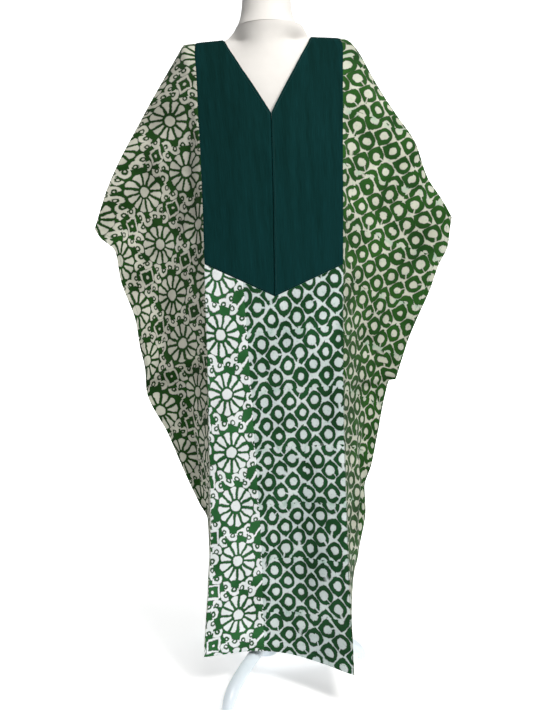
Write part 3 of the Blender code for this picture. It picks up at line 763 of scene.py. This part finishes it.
def ring_lattice(x, y, block, seed):
    """Every second column of rings: white outside the rings and in their holes."""
    wide = 2 * RING_COLUMNS
    column, row = (x / wide).floor(), ((y - RING_START) / RING_ROWS).floor()
    cx = x - (column + 0.5) * wide
    cy = y - RING_START - (row + 0.5) * RING_ROWS
    shape = white_noise(column, row + block * 5, 5.0 + seed)
    other = white_noise(column, row + block * 5, 6.0 + seed)
    grow = (shape - 0.5) * 0.0030
    cx, cy = cx + (other - 0.5) * 0.0022, cy + (shape - 0.5) * 0.0020
    r = length(cx, cy * (0.90 + shape * 0.1))
    corner = (cx.abs() + cy.abs()) * 0.72
    tip = (cx * -1.0 + cy * (1.6 - other * 3.2)).over(0.001)
    outer = mix(tip, r, r * 0.30 + corner * 0.70)
    smear = white_noise(column, row + block * 5, 9.0 + seed).over(0.88) * 0.0030
    hole = (RING_HOLE + grow * 0.8) - length(cx + grow, cy) - smear
    aim, swing = other * 2 - 1, shape * 2 - 1
    slit = (HALF_SLIT - (cx * swing - cy * aim).abs()).min(cx * aim + cy * swing)
    slit = slit.min((shape + other - 1.15) * 0.5)  # few rings have one
    return (outer - (RING_OUTER + grow)).max(hole).max(slit)


def printed_material(name, swell, wheel_green, ring_green, edge_green, wheel_ground, ring_ground):
    """Stamped cotton. Greens and grounds are pairs of a dark and a light tone."""
    material, shader = new_material(name)
    x0, y0 = cut_coordinates()
    plain = combine(x0, y0)
    dx, dy, _ = split(noise(plain, 55.0, 2.0, colour=True))
    fx, fy, _ = split(noise(plain, 420.0, 1.0, colour=True))
    x = x0 + (dx - 0.5) * 0.0085 + (fx - 0.5) * 0.0026
    y = y0 + (dy - 0.5) * 0.0085 + (fy - 0.5) * 0.0026
    bleed = (noise(plain, 30.0, 3.0) - 0.5) * 0.0042
    border = x.over(0.0)
    motif = mix(border, wheels(x, y), rings(x, y) - swell) + bleed
    white = motif.soft(0.0019)
    faint = noise(plain, 11.0, 3.0)
    speck = noise(plain, 750.0, 1.0)
    tree = Maths.tree

    def colours(share, low, high):
        made = tree.nodes.new("ShaderNodeMix")
        made.data_type = "RGBA"
        tree.links.new(share.socket, made.inputs["Factor"])
        for key, value in (("A", low), ("B", high)):
            socket = [s for s in made.inputs if s.name == key and s.type == "RGBA"][0]
            if isinstance(value, tuple):
                socket.default_value = (*value, 1.0)
            else:
                tree.links.new(value, socket)
        return [s for s in made.outputs if s.type == "RGBA"][0]

    patch = Maths.node("MULTIPLY_ADD", faint, 3.2, -1.1, clamp=True)
    green = colours(border, colours(patch, *wheel_green), colours(patch, *ring_green))
    ground = colours(border, colours(patch, *wheel_ground), colours(patch, *ring_ground))
    wash = Maths.node("MULTIPLY_ADD", noise(plain, 150.0, 2.0), 6.0, -3.4, clamp=True)
    near_row = ((y / PITCH - (y / PITCH).floor()) - 0.5).abs() * 2
    near_row = Maths.node("MULTIPLY_ADD", near_row, 4.0, -2.8, clamp=True)
    lapped = Maths.node("MULTIPLY_ADD", noise(plain, 38.0, 2.0), 5.0, -2.3, clamp=True) * near_row
    brush = noise(combine(x0 * 900, y0 * 150), 1.0, 2.0)
    brush = Maths.node("MULTIPLY_ADD", brush, 7.0, -4.2, clamp=True)
    dyed = wash * (border * 0.26 + 0.14) + lapped * (border * 0.42) + brush * (border * 0.18 + 0.10)
    ground = colours(dyed, ground, (0.16, 0.40, 0.27))
    worn = Maths.node("MULTIPLY_ADD", speck, 5.0, -3.2, clamp=True)
    green = colours(worn * 0.18, green, (0.16, 0.32, 0.16))
    pool = Maths.node("MULTIPLY_ADD", motif, -420.0, 0.10, clamp=True)
    green = colours(pool, edge_green, green)
    tree.links.new(colours(white, green, ground), shader.inputs["Base Color"])
    put(shader, {"Roughness": 0.82, "Sheen Weight": 0.04, "Sheen Roughness": 0.5})
    put(shader, {"Specular IOR Level": 0.14})
    weave_x, weave_y = (x0 * 5200).sin(), (y0 * 5200).sin()
    crumple = noise(plain, 26.0, 3.0)
    height = weave_x * weave_y * 0.00006 + crumple * 0.0011 + noise(plain, 170.0, 2.0) * 0.00025
    bump(shader, height, 0.9)
    return material


def put(node, values):
    """Sets inputs of a node by their names."""
    for key, value in values.items():
        node.inputs[key].default_value = value


def bump(shader, height, strength):
    made = Maths.tree.nodes.new("ShaderNodeBump")
    put(made, {"Strength": strength, "Distance": 1.0})
    Maths.tree.links.new(height.socket, made.inputs["Height"])
    Maths.tree.links.new(made.outputs[0], shader.inputs["Normal"])


def tint(shader, share, low, high):
    """The base colour, from low to high."""
    made = Maths.tree.nodes.new("ShaderNodeValToRGB")
    made.color_ramp.elements[0].color = (*low, 1.0)
    made.color_ramp.elements[1].color = (*high, 1.0)
    Maths.tree.links.new(share.socket, made.inputs[0])
    Maths.tree.links.new(made.outputs[0], shader.inputs["Base Color"])


def dark_material():
    material, shader = new_material("dark_cotton")
    x, y = cut_coordinates()
    streaks = noise(combine(x * 900, y * 26), 1.0, 3.0)
    soft = noise(combine(x * 60, y * 5), 1.0, 2.0)
    share = Maths.node("MULTIPLY_ADD", streaks * 0.6 + soft * 0.4 + y * 0.35, 2.2, -0.55, clamp=True)
    tint(shader, share, (0.0022, 0.0185, 0.0165), (0.0050, 0.0420, 0.0440))
    put(shader, {"Roughness": 0.9, "Specular IOR Level": 0.03})
    weave = (x * 6000).sin() * (y * 6000).sin() * 0.00005
    height = streaks * 0.00022 + weave + noise(combine(x, y), 30.0, 2.0) * 0.0006
    bump(shader, height, 0.8)
    return material


def object_coordinates():
    made = Maths.tree.nodes.new("ShaderNodeTexCoord")
    return made.outputs["Object"]


def form_material():
    material, shader = new_material("form_jersey")
    place = object_coordinates()
    share = noise(place, 35.0, 3.0)
    tint(shader, share, (0.73, 0.705, 0.67), (0.79, 0.765, 0.73))
    put(shader, {"Roughness": 0.85, "Sheen Weight": 0.15})
    rib = (split(place)[2] * 4200).sin() * 0.00005
    height = rib + noise(place, 900.0, 1.0) * 0.0001 + noise(place, 60.0, 2.0) * 0.0003
    bump(shader, height, 0.7)
    return material


def paint_material():
    material, shader = new_material("white_paint")
    place = object_coordinates()
    tint(shader, noise(place, 60.0, 3.0), (0.80, 0.89, 0.97), (0.88, 0.95, 1.0))
    put(shader, {"Roughness": 0.34, "Coat Weight": 0.25, "Coat Roughness": 0.2})
    bump(shader, noise(place, 220.0, 2.0) * 0.00012, 0.6)
    return material


def thread_material(name, colour):
    material, shader = new_material(name)
    tint(shader, noise(object_coordinates(), 500.0, 1.0), tuple(c * 0.8 for c in colour), colour)
    put(shader, {"Roughness": 0.7})
    return material


printed_panel = printed_material(
    "printed_cotton_panel",
    swell=0.0002,
    wheel_green=((0.010, 0.080, 0.018), (0.028, 0.150, 0.042)),
    ring_green=((0.004, 0.040, 0.009), (0.011, 0.080, 0.022)),
    edge_green=(0.003, 0.024, 0.007),
    wheel_ground=((0.78, 0.82, 0.82), (0.90, 0.93, 0.94)),
    ring_ground=((0.54, 0.62, 0.61), (0.72, 0.79, 0.78)),
)
# The wings wear the same cloth as the panel: this copy's darker, warmer grounds and greens are painted
# shade.
wing_print_painted_shade = printed_material(
    "printed_cotton_wing_painted_shade",
    swell=0.0008,
    wheel_green=((0.006, 0.040, 0.004), (0.018, 0.090, 0.010)),
    ring_green=((0.007, 0.045, 0.005), (0.020, 0.095, 0.010)),
    edge_green=(0.0025, 0.018, 0.003),
    wheel_ground=((0.55, 0.55, 0.46), (0.79, 0.79, 0.68)),
    ring_ground=((0.44, 0.45, 0.36), (0.60, 0.61, 0.51)),
)
dark = dark_material()
jersey = form_material()
paint = paint_material()

# The pieces of cloth

hem, yoke_foot = level(SEAM_LENGTH), level(YOKE_DOWN)

centre("bib_left", "front", (0.0, CENTRE_SEAM), neck_line, bib_foot, 44, 150, "bib", dark,
       {"left": SEWN, "right": CENTRE_DIP, "bottom": SEWN, "fold": True})
centre("bib_right", "front", (CENTRE_SEAM, 1.0), neck_line, bib_foot, 44, 150, "bib", dark,
       {"left": CENTRE_LAP, "right": SEWN, "bottom": SEWN, "fold": True})
centre("front_panel", "front", (0.0, 1.0), bib_foot, hem, 90, 220, "front_panel", printed_panel,
       {"left": SEWN, "right": SEWN, "top": SEWN})
centre("back_yoke", "back", (0.0, 1.0), back_neck_line, yoke_foot, 80, 50, "back", dark,
       {"left": SEWN, "right": SEWN, "bottom": SEWN, "fold": True})
centre("back_panel", "back", (0.0, 1.0), yoke_foot, hem, 90, 280, "back", printed_panel,
       {"left": SEWN, "right": SEWN, "top": SEWN}, wave=0.002)
for hand in ("left", "right"):
    for layer in ("front", "back"):
        wing(hand, layer, wing_print_painted_shade)


def on_surface(name, a, b):
    """Points and outward directions of a finished piece, at a across and b down."""
    across, share, head, foot, top, n = surfaces[name]
    column = np.interp(a, across, np.arange(len(across)))
    row = np.interp((b - head(a)) / (foot(a) - head(a)), share, np.arange(len(share)))
    i = np.clip(column.astype(int), 0, len(across) - 2)
    j = np.clip(row.astype(int), 0, len(share) - 2)
    u, v = (column - i)[:, None], (row - j)[:, None]

    def read(grid):
        upper = grid[j, i] * (1 - u) + grid[j, i + 1] * u
        lower = grid[j + 1, i] * (1 - u) + grid[j + 1, i + 1] * u
        return upper * (1 - v) + lower * v

    return read(top), read(n)


STITCH, STITCH_PITCH, THREAD = 0.0030, 0.0043, 0.00033  # length, repeat, radius
STITCH_RINGS = ((0.0, 0.25, -0.2), (0.2, 1.0, 0.5), (0.8, 1.0, 0.5), (1.0, 0.25, -0.2))  # along, size, lift
STITCH_SIDES = 5


def stitches(name, lines, material):
    """Rows of short raised threads along lines that run over a piece."""
    verts, faces = [], []
    sides, radius = STITCH_SIDES, THREAD
    for a, b in lines:
        p, n = on_surface(name, a, b)
        run = np.concatenate([[0.0], np.cumsum(np.linalg.norm(np.diff(p, axis=0), axis=1))])
        for at in np.arange(STITCH_PITCH, run[-1] - STITCH_PITCH, STITCH_PITCH):
            reach = (at - STITCH / 2, at + STITCH / 2)
            ends = np.stack([np.interp(reach, run, p[:, k]) for k in range(3)], -1)
            up = np.array([np.interp(at, run, n[:, k]) for k in range(3)])
            along = ends[1] - ends[0]
            along /= max(np.linalg.norm(along), 1e-9)
            up -= along * float(up @ along)
            up /= max(np.linalg.norm(up), 1e-9)
            side = np.cross(along, up)
            first = len(verts)
            for step, size, lift in STITCH_RINGS:
                middle = ends[0] + (ends[1] - ends[0]) * step + up * lift * radius + SHIFT
                for k in range(sides):
                    turn = 2 * math.pi * k / sides
                    verts.append(middle + (side * math.cos(turn) + up * math.sin(turn)) * radius * size)
            turns = len(STITCH_RINGS) - 1
            for ring in range(turns):
                for k in range(sides):
                    m = (k + 1) % sides
                    q = first + ring * sides
                    faces.append((q + k, q + sides + k, q + sides + m, q + m))
            faces.append(tuple(first + k for k in range(sides)))
            faces.append(tuple(first + turns * sides + k for k in reversed(range(sides))))
    mesh = bpy.data.meshes.new(name + "_stitches")
    mesh.from_pydata([tuple(v) for v in verts], [], faces)
    mesh.polygons.foreach_set("use_smooth", np.ones(len(faces), bool))
    item = placed(name + "_stitches", mesh, material)
    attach(item, "root")


green_thread = thread_material("green_thread", (0.030, 0.150, 0.035))
dark_thread = thread_material("dark_thread", (0.0045, 0.0380, 0.0380))
BESIDE_SEAM, BESIDE_NECK, BESIDE_EDGE = 0.0035, 0.0055, 0.010  # from a border to its row of stitches
V_SLOPE = 2.1  # distance down for a distance square to the V
left_neck, right_neck = NECK_SIDES
left_v = np.linspace(left_neck + 0.004, CENTRE_SEAM - 0.004, 60)
right_v = np.linspace(CENTRE_SEAM + 0.006, right_neck - 0.004, 60)
left_foot, right_foot = np.linspace(0.01, CENTRE_SEAM - 0.01, 60), np.linspace(CENTRE_SEAM + 0.01, 0.99, 60)
left_shoulder = np.linspace(0.006, left_neck - 0.006, 50)
right_shoulder = np.linspace(right_neck + 0.006, 0.994, 50)
centre_down = np.linspace(NECK_DEPTH + 0.016, BIB_TIP_DOWN - 0.004, 80)
stitches("bib_left", [
    (left_v, neck_line(left_v) + BESIDE_NECK * V_SLOPE),
    (left_shoulder, 0.003 + 0.018 * (1 - left_shoulder / left_neck)),
    (left_foot, bib_foot(left_foot) - BESIDE_SEAM),
], dark_thread)
stitches("bib_right", [
    (right_v, neck_line(right_v) + BESIDE_NECK * V_SLOPE),
    (right_shoulder, 0.003 + 0.022 * (right_shoulder - right_neck) / (1 - right_neck)),
    (right_foot, bib_foot(right_foot) - BESIDE_SEAM),
    (np.full(80, CENTRE_SEAM + 0.012), centre_down),
], dark_thread)
yoke_across = np.linspace(0.01, 0.99, 120)
back_neck = np.linspace(left_neck + 0.01, right_neck - 0.01, 120)
stitches("back_yoke", [
    (yoke_across, np.full(120, YOKE_DOWN - BESIDE_SEAM)), (back_neck, back_neck_line(back_neck) + 0.006),
], dark_thread)
hem_across = np.linspace(0.006, 0.994, 150)
for name in ("front_panel", "back_panel"):
    stitches(name, [(hem_across, np.full(150, SEAM_LENGTH - HEM))], green_thread)
edge_down = np.linspace(0.03, 0.36, 160)
edge_out = 1 - BESIDE_EDGE / wing_width(edge_down)
low_out = np.linspace(0.10, 0.90, 40)
for hand in ("left", "right"):
    for layer in ("front", "back"):
        stitches(f"wing_{hand}_{layer}", [
            (edge_out, edge_down), (low_out, np.full(40, 1 - HEM / SEAM_LENGTH)),
        ], green_thread)


# The form and the stand

joint = max(v.co.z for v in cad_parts["form_torso"].data.vertices)
axis = np.mean([v.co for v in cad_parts["form_neck"].data.vertices], axis=0)


def shape_neck(body, node):
    """Lets the form's neck flare into the torso as in the photo, with its joint a little lower."""
    for vert in body.verts:
        z = vert.co.z
        if node == "form_torso":
            wider = JOINT_STEP * float(smoothstep((z - joint + 0.016) / 0.014))
            vert.co.x += (vert.co.x - axis[0]) * wider
            vert.co.y += (vert.co.y - axis[1]) * wider
        side = vert.co.x - axis[0]
        if side < 0 and node == "form_torso":
            vert.co.x -= side * PINCH_LEFT * float(smoothstep((z - joint + 0.045) / 0.025))
        if side > 0:
            flare = smoothstep((z - joint + 0.040) / 0.012) * smoothstep((joint + 0.020 - z) / 0.020)
            vert.co.x += side * FLARE_RIGHT * float(flare)
        vert.co.z -= JOINT_DROP * math.exp(-((z - joint) / JOINT_REACH) ** 2)


def evened(item, name, times):
    """Smooths the chest and the foot of the neck, as far as the group says."""
    even = item.modifiers.new(name, "SMOOTH")
    even.factor, even.iterations, even.vertex_group = 0.5, times, "soft"


def smooth_copy(node, material):
    """A rounder copy of a hard or stuffed node."""
    mesh = bpy.data.meshes.new(node + "_finish")
    body = bmesh.new()
    body.from_mesh(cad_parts[node].data)
    limit = math.radians(55)
    bmesh.ops.remove_doubles(body, verts=body.verts[:], dist=1e-5)
    if node.startswith("form"):
        shape_neck(body, node)
    bmesh.ops.join_triangles(
        body, faces=body.faces[:], angle_face_threshold=limit, angle_shape_threshold=math.pi
    )
    crease = body.edges.layers.float.new("crease_edge")
    for edge in body.edges:
        if edge.is_manifold and edge.calc_face_angle() > limit:
            edge[crease] = 1.0
            edge.smooth = False
    for face in body.faces:
        face.smooth = True
    body.to_mesh(mesh)
    body.free()
    item = placed(node + "_finish", mesh, material)
    if node == "form_torso":
        soft = item.vertex_groups.new(name="soft")
        for vert in mesh.vertices:
            z = vert.co.z
            share = smoothstep((z - EVEN_FROM) / EVEN_FADE) * smoothstep((joint - 0.018 - z) / 0.012)
            soft.add([vert.index], float(share), "REPLACE")
        evened(item, "even", 8)
    rounder = item.modifiers.new("rounder", "SUBSURF")
    rounder.levels = rounder.render_levels = 2
    if node == "form_torso":
        evened(item, "sleek", 40)
    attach(item, "root")
    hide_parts(node)


for node in ("form_torso", "form_neck"):
    smooth_copy(node, jersey)
for node in ("stand_pole", "stand_hub", "stand_leg_1", "stand_leg_2", "stand_leg_3"):
    smooth_copy(node, paint)

# Stage, light and camera

SWEEP_AT, SWEEP_ROUND, SWEEP_TOP, STAGE_HALF = 5.2, 1.2, 7.0, 8.0
backdrop = bpy.data.meshes.new("backdrop")
profile = [(-6.0, 0.0), (SWEEP_AT, 0.0)]
for k in range(1, 13):
    turn = math.pi / 2 * k / 12
    profile.append((SWEEP_AT + SWEEP_ROUND * math.sin(turn), SWEEP_ROUND * (1 - math.cos(turn))))
profile.append((SWEEP_AT + SWEEP_ROUND, SWEEP_TOP))
verts = [(x, y, z) for x in (-STAGE_HALF, STAGE_HALF) for y, z in profile]
count = len(profile)
faces = [(k, k + 1, count + k + 1, count + k) for k in range(count - 1)]
backdrop.from_pydata(verts, [], faces)
for polygon in backdrop.polygons:
    polygon.use_smooth = True
stage_material, stage_shader = new_material("pale_floor_painted_glow")
put(stage_shader, {"Base Color": (0.93, 0.93, 0.93, 1.0), "Roughness": 0.9})
put(stage_shader, {"Emission Color": (1.0, 1.0, 1.0, 1.0)})
# Painted light: the floor and backdrop glow, more behind the robe, to wash out its cast shadow.
depth = split(object_coordinates())[1]
near = Maths.node("MULTIPLY_ADD", depth, 1.6, 1.45, clamp=True)  # no painted glow on the floor in front of the robe
far = Maths.node("MULTIPLY_ADD", depth, 0.8, -0.05, clamp=True)  # more painted glow behind, which lifts the robe's cast shadow on the floor
painted_glow = near * 0.48 + far * 0.50
Maths.tree.links.new(painted_glow.socket, stage_shader.inputs["Emission Strength"])
placed("backdrop", backdrop, stage_material)


def area_light(name, place, target, size, energy, colour):
    data = bpy.data.lights.new(name, "AREA")
    data.shape = "DISK"
    data.size = size
    data.energy = energy
    data.color = colour
    item = placed(name, data)
    item.location = place
    item.rotation_euler = (Vector(target) - Vector(place)).to_track_quat("-Z", "Y").to_euler()


area_light("key", (1.45, -2.2, 3.2), (0, 0, 1.0), 1.0, 88, (1.0, 0.98, 0.95))
area_light("top", (0.4, -1.1, 3.2), (0, 0, 0.8), 1.0, 22, (1.0, 1.0, 1.0))
area_light("behind", (0, 2.4, 3.4), (0, 0.6, 0.4), 1.6, 20, (1.0, 1.0, 1.0))
area_light("low", (0.8, -2.6, 0.4), (0, 0, 0.2), 1.2, 5, (0.88, 0.94, 1.0))

world = bpy.data.worlds.new("studio")
bpy.context.scene.world = world
world.use_nodes = True
put(world.node_tree.nodes["Background"], {"Color": (1.0, 1.0, 1.0, 1.0), "Strength": 0.08})

SENSOR, FOCAL_PIXELS, PHOTO_WIDE = 36.0, 833, 533
CAMERA_BACK, CAMERA_UP = 2.0, 1.037
camera_data = bpy.data.cameras.new("camera")
camera_data.sensor_fit = "HORIZONTAL"
camera_data.sensor_width = SENSOR
camera_data.lens = SENSOR * FOCAL_PIXELS / PHOTO_WIDE
camera = placed("camera", camera_data)
camera.location = (SHIFT[0], SHIFT[1] - CAMERA_BACK, CAMERA_UP)
camera.rotation_euler = (math.radians(83), 0.0, 0.0)
bpy.context.scene.camera = camera
bpy.context.scene.view_settings.view_transform = "Standard"
